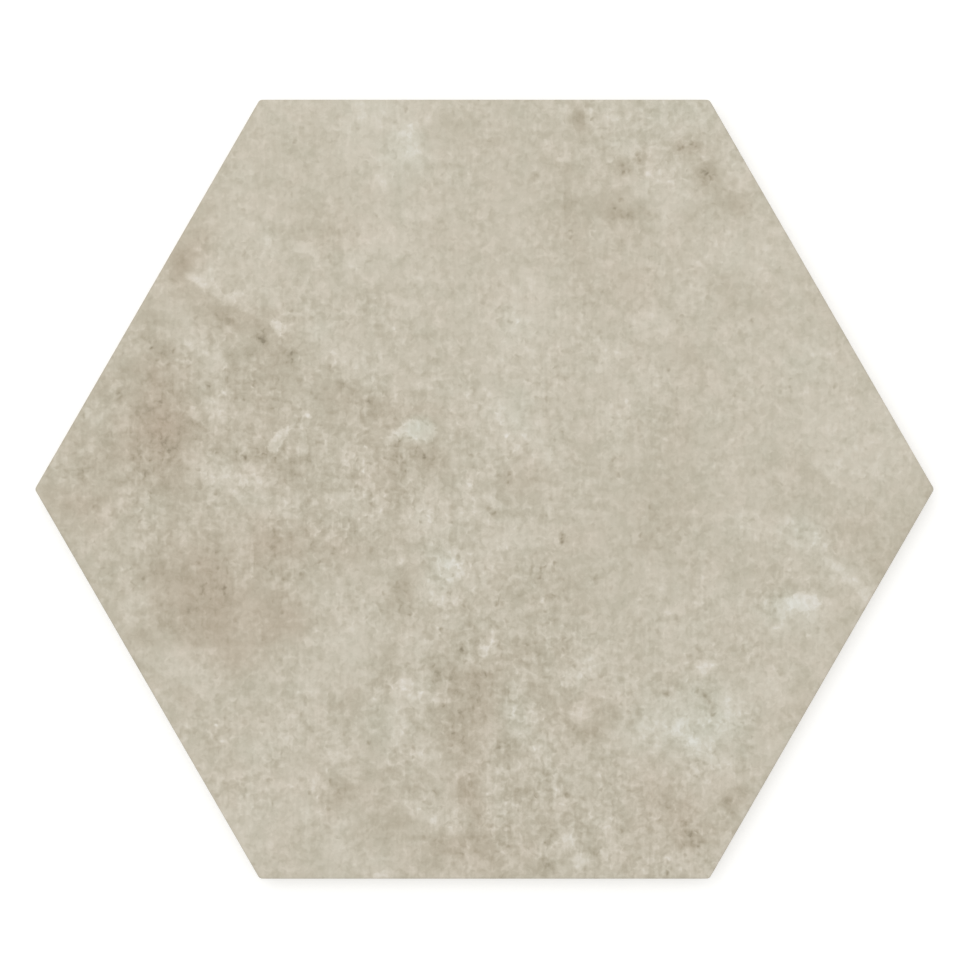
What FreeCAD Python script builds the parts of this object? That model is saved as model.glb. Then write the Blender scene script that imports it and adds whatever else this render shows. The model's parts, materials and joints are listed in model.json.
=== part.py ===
"""A pressed and fired porcelain floor tile: one hexagonal slab, lying on its back with its glazed face up.

Sizes are in millimetres. The origin is the middle of the underside, +Z points up through the glazed face, and +X
points at a corner. The slab is one piece of clay. Its sides are upright below a softly rounded glazed arris, and
draw in towards the back, where the mould let it go. The back has a plain rim round a honeycomb of shallow keys,
and the tile adhesive grips in those.
"""

import FreeCAD
import Part
import Sketcher
import math
import os

TILE = "hexagon_tile"
SIDES = 6
ON_THE_FACE = 1e-6
VOLUME_TOLERANCE = 1e-4
EVEN_STEP = -1.0  # a step of a pattern that is as long as the pattern's own spacing

# The driving dimensions, one row of the sheet each: alias, value, what it measures.
SIZES = [
    ("across_flats", 232.0, "from one straight side to the opposite one"),
    ("thickness", 9.0, "from the back to the glazed face"),
    ("corner_radius", 1.2, "rounding of the six upright corners"),
    ("arris_radius", 0.6, "rounding of the glazed edge"),
    ("skirt_height", 3.0, "height of the drawn-in foot of the sides"),
    ("skirt_setback", 0.6, "how far the sides draw in at the back"),
    ("foot_bevel", 0.3, "bevel of the edge round the back"),
    ("rim_width", 8.0, "least width of the plain rim, from the side of the tile to a key"),
    ("key_across_flats", 14.4, "mouth of one key, from flat to flat"),
    ("rib_width", 2.0, "crest of the rib between two keys"),
    ("key_depth", 0.7, "depth of the keys"),
    ("key_draft", 40.0, "lean of the walls of a key from upright, in degrees"),
]

# The keys lie on a triangular grid. Its rows run along the sides of the tile.
KEY_PITCH = "(Sizes.key_across_flats + Sizes.rib_width)"
ROW_SPACING = f"({KEY_PITCH} * sqrt(3) / 2)"
KEY_CORNER_RADIUS = "(Sizes.key_across_flats / sqrt(3))"
ROOM_FOR_ROWS = f"(Sizes.across_flats / 2 - Sizes.rim_width - {KEY_CORNER_RADIUS})"
KEY_RINGS = f"floor({ROOM_FOR_ROWS} / {ROW_SPACING})"


def fill_sheet(doc):
    """Writes the driving dimensions to a spreadsheet, each under its own alias."""
    sheet = doc.addObject("Spreadsheet::Sheet", "Sizes")
    for row, (alias, value, meaning) in enumerate(SIZES, start=1):
        sheet.set(f"A{row}", alias)
        sheet.set(f"B{row}", str(value))
        sheet.set(f"C{row}", meaning)
        sheet.setAlias(f"B{row}", alias)
    doc.recompute()
    return sheet


def origin_feature(body, role):
    """One of the body's own origin planes or axes."""
    return next(feature for feature in body.Origin.OriginFeatures if feature.Role == role)


def hexagon_sketch(body, name, first_corner_deg, radius, centre_x=None):
    """A regular hexagon on the ground plane, drawn in a construction circle that has an expression for its radius.

    Its first corner is at first_corner_deg: 0 for a hexagon with two level sides, 30 for one with two upright
    sides. It is centred on the origin, or on the X axis at the expression centre_x.
    """
    sketch = body.newObject("Sketcher::SketchObject", name)
    sketch.AttachmentSupport = [(origin_feature(body, "XY_Plane"), "")]
    sketch.MapMode = "FlatFace"

    guess = 10.0
    middle = FreeCAD.Vector(guess if centre_x else 0.0, 0, 0)
    corners = []
    for i in range(SIDES):
        angle = math.radians(first_corner_deg + i * 360.0 / SIDES)
        corners.append(middle + FreeCAD.Vector(guess * math.cos(angle), guess * math.sin(angle), 0))
    for i in range(SIDES):
        sketch.addGeometry(Part.LineSegment(corners[i], corners[(i + 1) % SIDES]), False)
    circle = sketch.addGeometry(Part.Circle(middle, FreeCAD.Vector(0, 0, 1), guess), True)

    start_point, end_point, centre_point = 1, 2, 3
    origin, origin_point = -1, 1
    for i in range(SIDES):
        sketch.addConstraint(Sketcher.Constraint("Coincident", i, end_point, (i + 1) % SIDES, start_point))
        sketch.addConstraint(Sketcher.Constraint("PointOnObject", i, start_point, circle))
    for i in range(1, SIDES):
        sketch.addConstraint(Sketcher.Constraint("Equal", 0, i))
    if first_corner_deg == 0:
        sketch.addConstraint(Sketcher.Constraint("Horizontal", 1))
    else:
        sketch.addConstraint(Sketcher.Constraint("Vertical", SIDES - 1))
    if centre_x:
        sketch.addConstraint(Sketcher.Constraint("PointOnObject", circle, centre_point, origin))
        place = sketch.addConstraint(
            Sketcher.Constraint("DistanceX", origin, origin_point, circle, centre_point, guess)
        )
        sketch.setExpression(f"Constraints[{place}]", centre_x)
    else:
        sketch.addConstraint(Sketcher.Constraint("Coincident", circle, centre_point, origin, origin_point))
    size = sketch.addConstraint(Sketcher.Constraint("Radius", circle, guess))
    sketch.setExpression(f"Constraints[{size}]", radius)
    return sketch


def add_grid_line(sketch, angle_deg):
    """A construction line from the origin at angle_deg, the second direction of the grid of keys."""
    length = 10.0
    angle = math.radians(angle_deg)
    end = FreeCAD.Vector(length * math.cos(angle), length * math.sin(angle), 0)
    line = sketch.addGeometry(Part.LineSegment(FreeCAD.Vector(0, 0, 0), end), True)
    origin, start_point = -1, 1
    sketch.addConstraint(Sketcher.Constraint("Coincident", line, start_point, origin, start_point))
    sketch.addConstraint(Sketcher.Constraint("Angle", origin, start_point, line, start_point, angle))
    sketch.addConstraint(Sketcher.Constraint("Distance", line, length))


def is_upright(box):
    """Whether what the box holds stands on the ground plane."""
    return box.ZLength > ON_THE_FACE


def numbered(kind, pieces, wanted):
    """The names, such as Edge4, of those edges or faces whose bounding box is as wanted."""
    return [f"{kind}{number}" for number, piece in enumerate(pieces, start=1) if wanted(piece.BoundBox)]


def rounded(body, name, base, edges, radius):
    """Rounds the edges of the base feature that are given by name."""
    fillet = body.newObject("PartDesign::Fillet", name)
    fillet.Base = (base, edges)
    fillet.setExpression("Radius", radius)
    body.Document.recompute()
    return fillet


def bevelled(body, name, base, edges, up_the_side, along_the_back):
    """Cuts the edges of the base feature that are given by name back to a slope."""
    chamfer = body.newObject("PartDesign::Chamfer", name)
    chamfer.Base = (base, edges)
    chamfer.ChamferType = "Two distances"
    chamfer.setExpression("Size", up_the_side)
    chamfer.setExpression("Size2", along_the_back)
    body.Document.recompute()
    return chamfer


def slab(body, thickness):
    """The slab as the press leaves it, before its back is keyed."""
    outline = hexagon_sketch(body, "Outline", 0, "Sizes.across_flats / sqrt(3)")
    clay = body.newObject("PartDesign::Pad", "Clay")
    clay.Profile = outline
    clay.setExpression("Length", "Sizes.thickness")
    body.Document.recompute()

    corner_edges = numbered("Edge", clay.Shape.Edges, is_upright)
    corners = rounded(body, "Corners", clay, corner_edges, "Sizes.corner_radius")
    back_edges = numbered("Edge", corners.Shape.Edges, lambda box: box.ZMax < ON_THE_FACE)
    skirt = bevelled(body, "Skirt", corners, back_edges, "Sizes.skirt_height", "Sizes.skirt_setback")
    foot_edges = numbered("Edge", skirt.Shape.Edges, lambda box: box.ZMax < ON_THE_FACE)
    foot = bevelled(body, "Foot", skirt, foot_edges, "Sizes.foot_bevel", "Sizes.foot_bevel")
    face_edges = numbered("Edge", foot.Shape.Edges, lambda box: box.ZMin > thickness - ON_THE_FACE)
    return rounded(body, "Arris", foot, face_edges, "Sizes.arris_radius")


def stud(doc, name, centre_x=None):
    """A body with one stud of the punch that keys the back: a low hexagon, its walls leaning in to come away."""
    punch = doc.addObject("PartDesign::Body", name)
    foot = hexagon_sketch(punch, name + "Foot", 30, KEY_CORNER_RADIUS, centre_x)
    prism = punch.newObject("PartDesign::Pad", name + "Prism")
    prism.Profile = foot
    prism.setExpression("Length", "Sizes.key_depth")
    doc.recompute()

    draft = punch.newObject("PartDesign::Draft", name + "Draft")
    draft.Base = (prism, numbered("Face", prism.Shape.Faces, is_upright))
    draft.NeutralPlane = (origin_feature(punch, "XY_Plane"), [""])
    draft.setExpression("Angle", "Sizes.key_draft")
    doc.recompute()
    return punch


def rings_of_studs(doc):
    """A body with every stud but the middle one: a rhombus of them, turned to three places."""
    punch = stud(doc, "Studs", KEY_PITCH)
    punch.AllowCompound = True
    one_stud = punch.Tip.Shape.Volume
    grid = doc.getObject("StudsFoot")
    add_grid_line(grid, 120)
    doc.recompute()

    studs = punch.newObject("PartDesign::MultiTransform", "Honeycomb")
    studs.TransformMode = "Whole shape"
    rhombus = punch.newObject("PartDesign::LinearPattern", "Rhombus")
    rhombus.Direction = (grid, ["H_Axis"])
    rhombus.Mode = "Spacing"
    rhombus.setExpression("Offset", KEY_PITCH)
    rhombus.setExpression("Occurrences", KEY_RINGS)
    rhombus.Direction2 = (grid, ["Axis0"])
    rhombus.Mode2 = "Spacing"
    rhombus.Spacings2 = [EVEN_STEP]
    rhombus.setExpression("Offset2", KEY_PITCH)
    rhombus.setExpression("Occurrences2", f"{KEY_RINGS} + 1")
    thirds = punch.newObject("PartDesign::PolarPattern", "Thirds")
    thirds.Axis = (origin_feature(punch, "Z_Axis"), [""])
    thirds.Occurrences = 3
    studs.Transformations = [rhombus, thirds]
    punch.Tip = studs
    doc.recompute()

    rings = rhombus.Occurrences
    check_volume(studs, 3 * rings * (rings + 1) * one_stud)
    return punch


def check_features(doc):
    """Stops if any feature of the model failed to build."""
    for feature in doc.Objects:
        if "Invalid" in feature.State or "Error" in feature.State:
            raise RuntimeError(f"{feature.Label} failed: {feature.State}")


def check_volume(feature, expected):
    """Stops if a feature is emptier or fuller than its parts say."""
    volume = feature.Shape.Volume
    if abs(volume - expected) > VOLUME_TOLERANCE * expected:
        raise RuntimeError(f"{feature.Label} holds {volume:.2f} cubic mm, and not {expected:.2f}")


def make_tile():
    """Builds the tile and returns its body."""
    doc = FreeCAD.newDocument(TILE)
    sheet = fill_sheet(doc)
    body = doc.addObject("PartDesign::Body", "Tile")
    body.Label = TILE
    blank = slab(body, sheet.thickness)
    middle_stud = stud(doc, "MiddleStud")
    studs = rings_of_studs(doc)
    pressed_out = middle_stud.Shape.Volume + studs.Shape.Volume

    keyed = body.newObject("PartDesign::Boolean", "Keyed")
    keyed.Type = "Cut"
    keyed.addObjects([middle_stud, studs])
    body.Tip = keyed
    doc.recompute()
    check_features(doc)
    check_volume(keyed, blank.Shape.Volume - pressed_out)
    return body


def write(body):
    """Writes the finished body, once it is one valid solid."""
    shape = body.Shape
    if shape.isNull() or not shape.isValid() or len(shape.Solids) != 1:
        raise RuntimeError(f"{body.Label} isn't one valid solid")
    os.makedirs("parts", exist_ok=True)
    shape.exportStep(f"parts/{body.Label}.step")
    box = shape.optimalBoundingBox(False)
    print(f"{body.Label}: {box.XLength:.2f} x {box.YLength:.2f} x {box.ZLength:.2f} mm")
    print(f"{shape.Volume:.0f} cubic mm in {len(shape.Faces)} faces")


write(make_tile())
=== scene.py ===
# %% [markdown]
# # A hexagonal porcelain floor tile
#
# The real tile is one piece of fired clay. Dry powder is pressed hard between two punches, the face is glazed and
# printed, and the whole slab is fired once. So this lesson has one model and a few finishes: the printed glaze on
# the face, and the bare fired body on the sides and the back.
#
# The measured solid comes in first and stays hidden behind the model. The model keeps its size and adds what a
# finger would feel: a rolling face, a soft edge and rounded ribs on the back.

# %% Load the measured solid
import bmesh
import bpy
import json
import math
import numpy as np
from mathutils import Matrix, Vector, noise

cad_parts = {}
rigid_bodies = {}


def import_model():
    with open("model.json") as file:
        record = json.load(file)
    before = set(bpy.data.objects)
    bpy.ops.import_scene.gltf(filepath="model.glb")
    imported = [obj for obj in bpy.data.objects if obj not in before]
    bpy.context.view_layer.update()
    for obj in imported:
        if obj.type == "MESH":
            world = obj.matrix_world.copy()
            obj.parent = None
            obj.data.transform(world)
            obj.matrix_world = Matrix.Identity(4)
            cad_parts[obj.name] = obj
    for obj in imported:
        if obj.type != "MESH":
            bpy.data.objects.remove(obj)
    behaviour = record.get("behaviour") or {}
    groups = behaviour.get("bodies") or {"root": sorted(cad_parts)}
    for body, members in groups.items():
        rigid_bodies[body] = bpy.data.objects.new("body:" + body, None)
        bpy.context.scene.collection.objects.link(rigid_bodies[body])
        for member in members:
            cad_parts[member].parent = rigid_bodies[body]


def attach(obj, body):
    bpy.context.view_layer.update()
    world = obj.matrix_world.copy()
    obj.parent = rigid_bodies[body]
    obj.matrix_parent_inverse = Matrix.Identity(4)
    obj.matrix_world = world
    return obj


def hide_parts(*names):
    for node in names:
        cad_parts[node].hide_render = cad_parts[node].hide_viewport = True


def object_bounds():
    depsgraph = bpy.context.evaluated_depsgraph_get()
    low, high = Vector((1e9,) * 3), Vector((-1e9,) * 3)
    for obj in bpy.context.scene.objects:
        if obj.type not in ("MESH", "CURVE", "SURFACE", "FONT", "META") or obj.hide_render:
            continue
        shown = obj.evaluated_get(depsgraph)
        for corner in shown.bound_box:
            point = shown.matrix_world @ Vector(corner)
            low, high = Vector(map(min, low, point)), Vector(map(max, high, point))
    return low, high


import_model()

SOLID = "hexagon_tile"
MM = 0.001
cad_low, cad_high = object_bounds()
print("measured solid, mm:", [round(size / MM, 2) for size in cad_high - cad_low])

# %% [markdown]
# ## The sizes
#
# Everything is placed in metres in the frame of the solid: the middle of the back is the origin, up is through the
# glazed face, and +X points at a corner. The half width and the thickness are read from the solid. The rest repeats
# the sizes that a maker's drawing would give, in millimetres.

# %% Name the sizes
HALF_FLATS = cad_high.y
THICKNESS = cad_high.z
SIDES = 6
CORNER_REACH = HALF_FLATS / math.cos(math.pi / SIDES)

CORNER_RADIUS = 1.2 * MM
ARRIS_RADIUS = 0.6 * MM
SKIRT_HEIGHT = 3.0 * MM
SKIRT_SETBACK = 0.6 * MM
FOOT_BEVEL = 0.3 * MM

KEY_RINGS = 7
KEY_ACROSS_FLATS = 14.4 * MM
RIB_WIDTH = 2.0 * MM
KEY_DEPTH = 0.7 * MM
KEY_DRAFT = math.radians(40)
KEY_PITCH = KEY_ACROSS_FLATS + RIB_WIDTH
TOUCHING = 0.01 * MM


# %% [markdown]
# ## Small helpers
#
# An operator works on whatever is selected, so each step first clears the selection and then picks faces or edges in
# code, by where they lie. These helpers do the picking and keep the steps below short.

# %% Helpers for selecting
def only(piece):
    """Selects one object and nothing else."""
    bpy.ops.object.select_all(action="DESELECT")
    piece.select_set(True)
    bpy.context.view_layer.objects.active = piece


def pick(mode, wanted):
    """Selects, in edit mode, those vertices, edges or faces for which wanted is true, and counts them."""
    bpy.ops.mesh.select_mode(type=mode)
    bpy.ops.mesh.select_all(action="DESELECT")
    mesh = bpy.context.edit_object.data
    shape = bmesh.from_edit_mesh(mesh)
    shape.normal_update()
    elements = {"VERT": shape.verts, "EDGE": shape.edges, "FACE": shape.faces}[mode]
    picked = [element for element in elements if wanted(element)]
    for element in picked:
        element.select_set(True)
    bmesh.update_edit_mesh(mesh)
    return len(picked)


# %% [markdown]
# ## The face
#
# A glazed face is never quite flat, so its mesh needs many small triangles that a later step can move. A six-sided
# circle filled as a fan is six big triangles. Subdividing them gives an even lattice with no long thin triangles,
# which shades better than a square grid cut off at the edges would.

# %% Make the lattice of the face
FACE_CUTS = 139

flat_reach = HALF_FLATS - ARRIS_RADIUS
bpy.ops.object.select_all(action="DESELECT")
bpy.ops.mesh.primitive_circle_add(
    vertices=SIDES,
    radius=flat_reach / math.cos(math.pi / SIDES),
    fill_type="TRIFAN",
    location=(0, 0, THICKNESS),
    rotation=(0, 0, math.pi / SIDES),
)
tile = bpy.context.object
tile.name = "pressed_tile"
tile.data.name = "pressed_tile"
bpy.ops.object.transform_apply(location=True, rotation=True, scale=True)
bpy.ops.object.mode_set(mode="EDIT")
bpy.ops.mesh.select_all(action="SELECT")
bpy.ops.mesh.subdivide(number_cuts=FACE_CUTS)
bpy.ops.object.mode_set(mode="OBJECT")
print("face triangles:", len(tile.data.polygons))

# %% [markdown]
# ## The arris and the sides
#
# The glazed edge, which tilers call the arris, is rounded. Below it the press box gives the sides an upright band,
# and lower still they draw in a little, so that the slab lets go of the mould. All of this is one profile: a list of
# heights, each with how far the side lies inside the widest line. The outline is extruded down from one to the next.
# Scaling a regular hexagon about its middle moves all six sides by the same distance, so a scale does for an offset.

# %% Extrude the outline down the profile
ARRIS_STEPS = 5
QUARTER_TURN = math.pi / 2

profile = []
for step in range(1, ARRIS_STEPS + 1):
    angle = QUARTER_TURN * step / ARRIS_STEPS
    profile.append((THICKNESS - ARRIS_RADIUS * (1 - math.cos(angle)), ARRIS_RADIUS * (1 - math.sin(angle))))
foot_draw_in = SKIRT_SETBACK * (1 - FOOT_BEVEL / SKIRT_HEIGHT)
profile += [(SKIRT_HEIGHT, 0.0), (FOOT_BEVEL, foot_draw_in), (0.0, SKIRT_SETBACK + FOOT_BEVEL)]

only(tile)
bpy.ops.object.mode_set(mode="EDIT")
pick("EDGE", lambda edge: edge.is_boundary)
last_height, last_reach = THICKNESS, flat_reach
for height, draw_in in profile:
    bpy.ops.mesh.extrude_edges_move(TRANSFORM_OT_translate={"value": (0, 0, height - last_height)})
    scale = (HALF_FLATS - draw_in) / last_reach
    bpy.ops.transform.resize(value=(scale, scale, 1), center_override=(0, 0, 0))
    last_height, last_reach = height, HALF_FLATS - draw_in
bpy.ops.object.mode_set(mode="OBJECT")
print("half width of the foot, mm:", round(last_reach / MM, 2))

# %% [markdown]
# ## The rounded corners
#
# A sharp corner of clay would crumble in the press, so the six upright corners are rounded. One bevel does it, over
# all the edges that run down a corner. On a 120 degree corner, a fillet of radius r starts r times tan 30 from the
# corner. Where the bevel ends on the face it lifts its last point by a hair, so those six points are pressed level.

# %% Round the six corners
CORNER_STEPS = 4
CORNER_START = CORNER_REACH * 0.985
AIMED = 0.01
HAIR = 0.001 * MM


def is_corner_edge(edge):
    """Whether an edge runs down one of the six corners."""
    ends = [vertex.co for vertex in edge.verts]
    out = min(math.hypot(end.x, end.y) for end in ends)
    turn = math.degrees(math.atan2(ends[0].y, ends[0].x)) % 60
    return out > CORNER_START and abs(ends[0].z - ends[1].z) > TOUCHING and min(turn, 60 - turn) < AIMED


only(tile)
bpy.ops.object.mode_set(mode="EDIT")
bpy.ops.mesh.select_all(action="SELECT")
bpy.ops.mesh.normals_make_consistent(inside=False)
corner_edges = pick("EDGE", is_corner_edge)
bpy.ops.mesh.bevel(offset=CORNER_RADIUS * math.tan(math.pi / SIDES), segments=CORNER_STEPS, profile=0.5, affect="EDGES")
lifted_points = pick("VERT", lambda vertex: vertex.co.z > THICKNESS + HAIR)
bpy.ops.transform.resize(value=(1, 1, 0), center_override=(0, 0, THICKNESS))
bpy.ops.object.mode_set(mode="OBJECT")
print("corner edges:", corner_edges, "points pressed level:", lifted_points)

# %% [markdown]
# ## One key of the back
#
# The back is pressed into shallow hexagonal keys, so that the adhesive has something to hold. One key with its share
# of the ribs is a hexagon that is inset twice: once level, for the crest of the rib, and once while it sinks, for the
# leaning wall. Bevels then round what the punch rounds. It is modelled face down, as it lies on the floor.

# %% Model one key
RIB_ROUNDING = 0.16 * MM
KEY_CORNER_ROUNDING = 0.7 * MM
LEVEL = 0.9


def is_key_wall_edge(edge):
    """Whether an edge runs down a corner of the key's wall."""
    return abs(edge.verts[0].co.z - edge.verts[1].co.z) > KEY_DEPTH / 2


def is_key_rim_edge(edge):
    """Whether an edge lies between the wall of the key and its rib or floor."""
    levels = sorted(abs(face.normal.z) for face in edge.link_faces)
    return len(levels) == 2 and levels[0] < LEVEL < levels[1]


bpy.ops.object.select_all(action="DESELECT")
bpy.ops.mesh.primitive_circle_add(
    vertices=SIDES, radius=KEY_PITCH / math.sqrt(3), fill_type="NGON", location=(0, 0, 0)
)
key = bpy.context.object
key.name = "key"
bpy.ops.object.mode_set(mode="EDIT")
bpy.ops.mesh.select_all(action="SELECT")
bpy.ops.mesh.flip_normals()
bpy.ops.mesh.inset(thickness=RIB_WIDTH / 2, depth=0)
bpy.ops.mesh.inset(thickness=KEY_DEPTH * math.tan(KEY_DRAFT), depth=-KEY_DEPTH)
pick("EDGE", is_key_wall_edge)
bpy.ops.mesh.bevel(offset=KEY_CORNER_ROUNDING, segments=1, affect="EDGES")
pick("EDGE", is_key_rim_edge)
bpy.ops.mesh.bevel(offset=RIB_ROUNDING, segments=1, affect="EDGES")
bpy.ops.object.mode_set(mode="OBJECT")
key_heights = [vertex.co.z / MM for vertex in key.data.vertices]
print("key faces:", len(key.data.polygons), "from", round(min(key_heights), 2), "to", round(max(key_heights), 2))

# %% [markdown]
# ## The honeycomb
#
# The keys lie in rows that run along the sides of the tile, so a hexagon of seven rings fills the back. Each copy has
# its own mesh. Joining them and merging the vertices that touch makes one sheet of ribs and keys.

# %% Copy the key and join the honeycomb
only(key)
cells = []
for row in range(-KEY_RINGS, KEY_RINGS + 1):
    first = max(-KEY_RINGS, -KEY_RINGS - row)
    last = min(KEY_RINGS, KEY_RINGS - row)
    for column in range(first, last + 1):
        cell = key.copy()
        cell.data = key.data.copy()
        cell.location = (KEY_PITCH * (column + row / 2), KEY_PITCH * row * math.sqrt(3) / 2, 0)
        bpy.context.scene.collection.objects.link(cell)
        cells.append(cell)
bpy.data.objects.remove(key)

bpy.ops.object.select_all(action="DESELECT")
for piece in [*cells, tile]:
    piece.select_set(True)
bpy.context.view_layer.objects.active = tile
bpy.ops.object.join()
print("keys:", len(cells))

# %% [markdown]
# ## The plain rim of the back
#
# Between the jagged edge of the honeycomb and the foot of the sides lies the plain rim. Both are open loops of edges
# at floor level, and Fill closes the ring between them with triangles. Merging doubles first makes the loops whole.

# %% Fill the rim and close the tile
only(tile)
bpy.ops.object.mode_set(mode="EDIT")
bpy.ops.mesh.select_all(action="SELECT")
bpy.ops.mesh.remove_doubles(threshold=TOUCHING)
open_edges = pick("EDGE", lambda edge: edge.is_boundary)
bpy.ops.mesh.fill(use_beauty=True)
bpy.ops.mesh.select_all(action="SELECT")
bpy.ops.mesh.normals_make_consistent(inside=False)
left_open = pick("EDGE", lambda edge: not edge.is_manifold)
bpy.ops.object.mode_set(mode="OBJECT")
print("edges joined:", open_edges, "edges left open:", left_open)

# %% [markdown]
# ## A face that rolls a little
#
# Fired glaze lies almost flat. It sinks by a few hundredths of a millimetre over the grains and the print of the
# punch, which is why a low light breaks up on it. Displace moves the small triangles down by a procedural texture,
# never up, and a vertex group lets the movement fade out before it reaches the edge.

# %% Sink the face by hundredths of a millimetre
STILL_RIM = 2.0 * MM
FADE_WIDTH = 6.0 * MM
HIGHEST_CLOUD = 0.9
GLAZED_FACE = "glazed_face"
FACE_WAVES = {
    "long_wave": (45.0 * MM, 0.08 * MM),
    "punch_texture": (7.0 * MM, 0.05 * MM),
}


def distance_to_side(point):
    """How far a point lies inside the nearest side of the hexagon."""
    angles = [math.radians(30 + 60 * side) for side in range(SIDES)]
    return min(HALF_FLATS - point.x * math.cos(angle) - point.y * math.sin(angle) for angle in angles)


only(tile)
glazed = tile.vertex_groups.new(name=GLAZED_FACE)
for vertex in tile.data.vertices:
    if abs(vertex.co.z - THICKNESS) < TOUCHING:
        share = (distance_to_side(vertex.co) - STILL_RIM) / FADE_WIDTH
        glazed.add([vertex.index], max(0.0, min(1.0, share)), "REPLACE")

for name, (wave_length, depth) in FACE_WAVES.items():
    texture = bpy.data.textures.new(name, "CLOUDS")
    texture.noise_scale = wave_length
    texture.noise_depth = 2
    waves = tile.modifiers.new(name, "DISPLACE")
    waves.texture = texture
    waves.texture_coords = "LOCAL"
    waves.direction = "Z"
    waves.mid_level = HIGHEST_CLOUD
    waves.strength = depth
    waves.vertex_group = GLAZED_FACE
    bpy.ops.object.modifier_apply(modifier=name)

heights = [vertex.co.z for vertex in tile.data.vertices if vertex.groups]
print("the face sinks by up to", round((THICKNESS - min(heights)) / MM, 3), "mm")

# %% [markdown]
# ## Smooth shading
#
# Shading smooth by angle keeps the folds that are real, such as the foot of the sides, and blends the small steps of
# the bevels. Then the triangles of the tile are counted.

# %% Shade the mesh and count its triangles
SHARP_FOLD = math.radians(38)

only(tile)
bpy.ops.object.shade_smooth_by_angle(angle=SHARP_FOLD)
triangles = sum(len(face.vertices) - 2 for face in tile.data.polygons)
print("triangles of the tile:", triangles)

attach(tile, "root")
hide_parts(SOLID)

# %% [markdown]
# ## Colours and nodes
#
# Colours are written as hex values, as a paint chart gives them. A shader works in linear light, so one function
# converts them. Another adds a node with its settings and links, and hands back the output that the next one needs,
# so that a material reads as a list of steps.

# %% Helpers for materials
def linear(hex_colour):
    """The linear colour, with full alpha, of an sRGB hex colour."""
    parts = [int(hex_colour[place : place + 2], 16) / 255 for place in (1, 3, 5)]
    low = 0.04045
    return (*[part / 12.92 if part <= low else ((part + 0.055) / 1.055) ** 2.4 for part in parts], 1.0)


def add_node(tree, kind, feeds=(), output=0, **settings):
    """Adds a node, sets its properties and feeds its inputs. Gives one of its outputs, or the node where it is None."""
    node = tree.nodes.new("ShaderNode" + kind)
    for name, value in settings.items():
        setattr(node, name, value)
    for socket, feed in feeds.items() if isinstance(feeds, dict) else enumerate(feeds):
        if isinstance(feed, bpy.types.NodeSocket):
            tree.links.new(feed, node.inputs[socket])
        else:
            node.inputs[socket].default_value = feed
    return node if output is None else node.outputs[output]


def new_material(name):
    """A material with an empty node tree."""
    material = bpy.data.materials.new(name)
    material.use_nodes = True
    material.node_tree.nodes.clear()
    return material, material.node_tree


# %% [markdown]
# ## The print: where it lies
#
# The stone look of the glaze is a print. Its wide stains are painted on the vertices of the face, as a brush does in
# Vertex Paint, because the lattice is finer than they are, and a number on a vertex costs a shader nothing. The fine
# grain comes later, from noises in the shader. A stain is painted where a noise has pushed it, so its edge wanders.
# The noise vectors of a script start from the clock unless they get a seed, and with a seed each run paints alike.

# %% Measure where each vertex lies in the print
DRIFTS = [(16.0, 3.0), (4.5, 1.6), (2.2, 0.9)]
OFF_GRID = 217.3
DRIFT_SEED = 2

noise.seed_set(DRIFT_SEED)
mesh = tile.data
corners = np.empty(len(mesh.vertices) * 3)
mesh.vertices.foreach_get("co", corners)
across, up = corners.reshape(-1, 3)[:, :2].T / MM
drifted_across, drifted_up = across.copy(), up.copy()
for size, reach in DRIFTS:
    places = zip((across + OFF_GRID) / size, (up + OFF_GRID) / size)
    drift = np.array([noise.noise_vector((x, y, size)) for x, y in places])
    drifted_across += drift[:, 0] * reach
    drifted_up += drift[:, 1] * reach
print("furthest drift, mm:", round(float(np.hypot(drifted_across - across, drifted_up - up).max()), 1))


def soft_ovals(stains, x, y):
    """For each oval how deep each point lies in it, one at the middle and zero at the edge, its width and its steps."""
    for steps, ovals in stains.items():
        for middle_x, middle_y, half_length, half_width, *turn in ovals:
            angle = math.radians(turn[0]) if turn else 0.0
            along = (x - middle_x) * math.cos(angle) + (y - middle_y) * math.sin(angle)
            aside = (y - middle_y) * math.cos(angle) - (x - middle_x) * math.sin(angle)
            yield 1 - np.hypot(along / half_length, aside / half_width), half_width, steps


def paint_stains(values, stains, core, reach):
    """Adds soft ovals to a value of each vertex. Each is even up to core and fades out at reach, in its half sizes."""
    for depth, _, steps in soft_ovals(stains, drifted_across, drifted_up):
        share = np.clip((depth + reach - 1) / (reach - core), 0, 1)
        values += steps * share * share * (3 - 2 * share)


def store(name, values):
    """Keeps one number for each vertex, which a material can read by its name."""
    mesh.attributes.new(name, "FLOAT", "POINT").data.foreach_set("value", values.astype(np.float32))


# %% [markdown]
# ## The print: clouds
#
# A tone runs through the whole print: zero is the average glaze, and each step makes it lighter or darker by a 255th
# of white. The widest stains come first. A table names the steps, dark ones below zero, and then the soft ovals that
# add them: where the middle lies, the half length, the half width and, where it is turned, the turn in degrees.

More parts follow.
